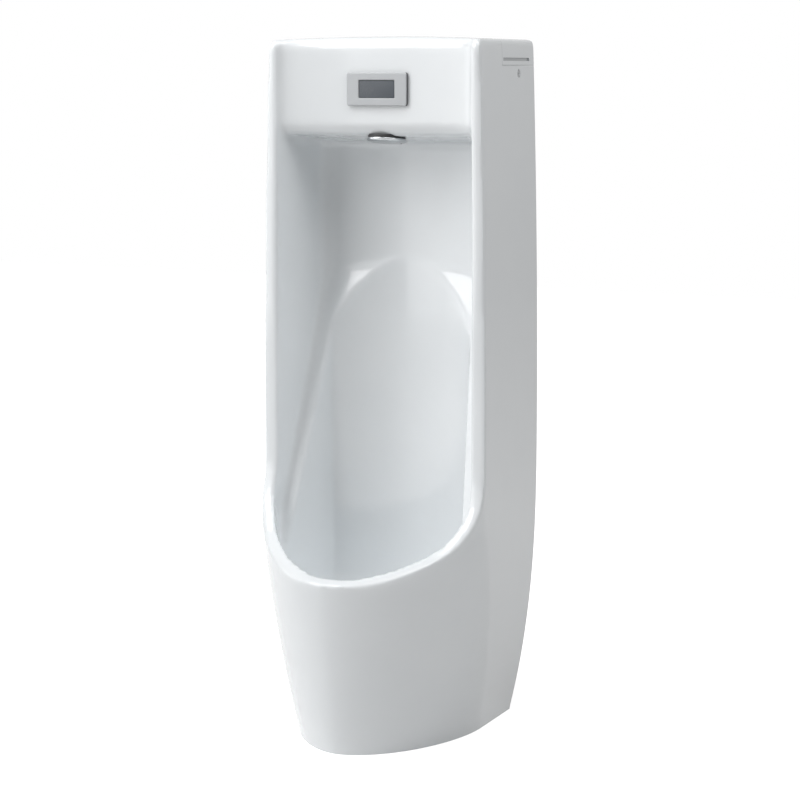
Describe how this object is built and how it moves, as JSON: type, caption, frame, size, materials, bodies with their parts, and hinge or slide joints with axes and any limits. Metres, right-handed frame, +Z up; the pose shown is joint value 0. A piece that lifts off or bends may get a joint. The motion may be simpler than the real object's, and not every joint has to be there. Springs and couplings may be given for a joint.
{
  "type": "sensor urinal",
  "caption": "Floor-standing, wall-backed china urinal with a sensor plate in its head, a flush spreader, an open bowl with a drain strainer, and a lift-off lid over a battery flush valve.",
  "frame": {"origin": "centre of the bounding box on the floor", "axes": "+Z up; +Y to the wall behind; -Y to the user; +X to the side with the lid's lock"},
  "size_m": [0.353, 0.335, 1],
  "materials": {
    "china": "glazed",
    "lid_white": "gloss",
    "satin_silver": "satin",
    "window_grey": "gloss",
    "chrome": "polished",
    "black_rubber": "matte",
    "brass": "plain",
    "steel": "plain",
    "white_resin": "satin",
    "grey_resin": "satin",
    "black_resin": "satin",
    "board_green": "satin",
    "emitter_dark": "gloss",
    "cell_wrap": "gloss"
  },
  "bodies": {
    "china": {"ceramic_body": "china", "sensor_bezel": "satin_silver", "sensor_window": "window_grey", "sensor_housing": "grey_resin", "sensor_board": "board_green", "ir_emitters": "emitter_dark", "clamp_strap": "steel", "clamp_screws": "steel", "spreader_head": "chrome", "spreader_gasket": "black_rubber", "spreader_washer": "black_rubber", "spreader_nut": "brass", "spreader_elbow": "brass", "flush_pipe": "chrome", "pipe_nut": "brass", "valve_body": "brass", "diaphragm": "black_rubber", "valve_bonnet": "steel", "bonnet_screws": "steel", "solenoid_coil": "black_resin", "coil_nut": "steel", "plunger_spring": "steel", "inlet_nut": "brass", "stop_valve_body": "brass", "spindle_nut": "brass", "box_bracket": "steel", "control_box": "grey_resin", "batteries": "cell_wrap", "control_board": "board_green", "sensor_lead": "black_rubber", "valve_lead": "black_rubber", "drain_socket": "grey_resin", "socket_gasket": "black_rubber", "socket_nut": "black_resin", "drain_pipe": "grey_resin", "pipe_seal": "black_rubber", "wall_flange": "chrome", "flange_seal": "black_rubber"},
    "lid": {"top_lid": "lid_white", "lid_catch": "steel"},
    "lock": {"lid_lock": "chrome", "lock_clip": "steel"},
    "spindle": {"stop_spindle": "steel"},
    "plunger": {"plunger": "steel"},
    "cover": {"box_cover": "grey_resin"},
    "cup": {"trap_cup": "grey_resin", "trap_seal": "black_rubber"},
    "strainer": {"drain_strainer": "white_resin"}
  },
  "joints": [
    {"name": "lid_lift", "type": "slide", "parent": "china", "child": "lid", "axis": [0, 0, 1], "range_m": [0, 0.08]},
    {"name": "lock_turn", "type": "hinge", "parent": "china", "child": "lock", "pos_m": [0.1664, 0.1125, 0.9485], "axis": [-1, 0, 0], "range_deg": [0, 90]},
    {"name": "spindle_turn", "type": "hinge", "parent": "china", "child": "spindle", "pos_m": [-0.074, 0.1005, 0.89835], "axis": [0, 0, 1], "range_deg": [0, 90]},
    {"name": "plunger_slide", "type": "slide", "parent": "china", "child": "plunger", "axis": [0, 0, 1], "range_m": [0, 0.003], "stiffness_N_per_m": 250, "springref_m": -0.004, "deforming": ["plunger_spring"]},
    {"name": "cover_lift", "type": "slide", "parent": "china", "child": "cover", "axis": [0, 0, 1], "range_m": [0, 0.026]},
    {"name": "cup_lift", "type": "slide", "parent": "china", "child": "cup", "axis": [0, 0, 1], "range_m": [0, 0.12]},
    {"name": "strainer_lift", "type": "slide", "parent": "cup", "child": "strainer", "axis": [0, 0, 1], "range_m": [0, 0.06]}
  ]
}
